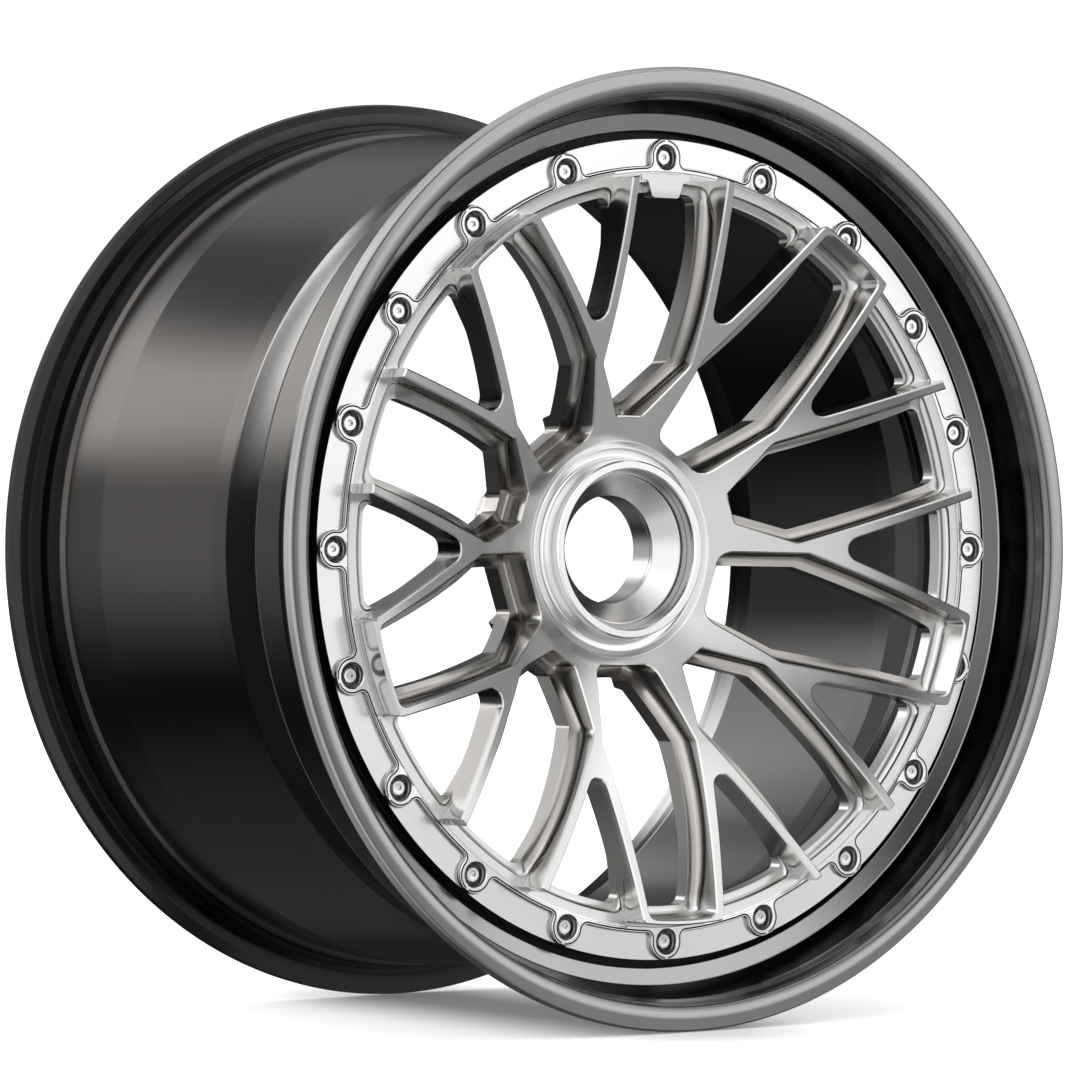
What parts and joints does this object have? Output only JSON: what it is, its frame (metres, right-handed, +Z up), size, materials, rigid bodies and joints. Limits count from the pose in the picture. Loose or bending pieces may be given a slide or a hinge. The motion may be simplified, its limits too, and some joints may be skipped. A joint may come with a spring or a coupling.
{
  "type": "racing wheel rim",
  "caption": "Three-piece forged centre-lock racing wheel with Y spokes, a bolted deep lip and barrel, and a tyre valve.",
  "frame": {"origin": "on the axle, midway between the two tyre flanges, which is the centre of the bounding box", "axes": "+Y along the axle towards the car, +Z up, and the wheel's face looks along -Y"},
  "size_m": [0.5684, 0.329, 0.5684],
  "materials": {
    "centre_aluminium": "machined and finely brushed forged aluminium under clear coat, bright chamfered edges",
    "lip_aluminium": "satin grey anodised rolled flange running into a dark gloss inner wall",
    "barrel_aluminium": "dark gunmetal gloss clear coat",
    "sealant": "cured black sealant bead",
    "seat_steel": "fine turned finish",
    "spring_steel": "plated spring steel",
    "bolt_steel": "bright plated steel",
    "nut_steel": "zinc plated steel",
    "bush_steel": "ground hardened steel",
    "valve_brass": "nickel plated brass",
    "valve_rubber": "moulded black rubber",
    "valve_washer_steel": "plated steel",
    "cap_plastic": "moulded black plastic"
  },
  "bodies": {
    "wheel": {"wheel_centre": "centre_aluminium", "outer_lip": "lip_aluminium", "inner_barrel": "barrel_aluminium", "rim_seal_ring": "sealant", "nut_seat_insert": "seat_steel", "seat_retaining_ring": "spring_steel", "drive_pin_bush_1": "bush_steel", "drive_pin_bush_2": "bush_steel", "drive_pin_bush_3": "bush_steel", "drive_pin_bush_4": "bush_steel", "drive_pin_bush_5": "bush_steel", "rim_bolt_01": "bolt_steel", "rim_bolt_02": "bolt_steel", "rim_bolt_03": "bolt_steel", "rim_bolt_04": "bolt_steel", "rim_bolt_05": "bolt_steel", "rim_bolt_06": "bolt_steel", "rim_bolt_07": "bolt_steel", "rim_bolt_08": "bolt_steel", "rim_bolt_09": "bolt_steel", "rim_bolt_10": "bolt_steel", "rim_bolt_11": "bolt_steel", "rim_bolt_12": "bolt_steel", "rim_bolt_13": "bolt_steel", "rim_bolt_14": "bolt_steel", "rim_bolt_15": "bolt_steel", "rim_bolt_16": "bolt_steel", "rim_bolt_17": "bolt_steel", "rim_bolt_18": "bolt_steel", "rim_bolt_19": "bolt_steel", "rim_bolt_20": "bolt_steel", "rim_nut_01": "nut_steel", "rim_nut_02": "nut_steel", "rim_nut_03": "nut_steel", "rim_nut_04": "nut_steel", "rim_nut_05": "nut_steel", "rim_nut_06": "nut_steel", "rim_nut_07": "nut_steel", "rim_nut_08": "nut_steel", "rim_nut_09": "nut_steel", "rim_nut_10": "nut_steel", "rim_nut_11": "nut_steel", "rim_nut_12": "nut_steel", "rim_nut_13": "nut_steel", "rim_nut_14": "nut_steel", "rim_nut_15": "nut_steel", "rim_nut_16": "nut_steel", "rim_nut_17": "nut_steel", "rim_nut_18": "nut_steel", "rim_nut_19": "nut_steel", "rim_nut_20": "nut_steel", "valve_stem": "valve_brass", "valve_seal": "valve_rubber", "valve_washer": "valve_washer_steel", "valve_nut": "valve_brass", "valve_core": "valve_brass"},
    "valve_cap_body": {"valve_cap": "cap_plastic"},
    "valve_pin_body": {"valve_core_pin": "valve_brass"}
  },
  "joints": [
    {"name": "valve_cap_unscrew", "type": "slide", "parent": "wheel", "child": "valve_cap_body", "axis": [0.0764, -0.225, 0.9714], "range_m": [0, 0.012]},
    {"name": "valve_pin_press", "type": "slide", "parent": "wheel", "child": "valve_pin_body", "axis": [-0.0764, 0.225, -0.9714], "range_m": [0, 0.0012], "stiffness_N_per_m": 100, "springref_m": -0.003}
  ]
}
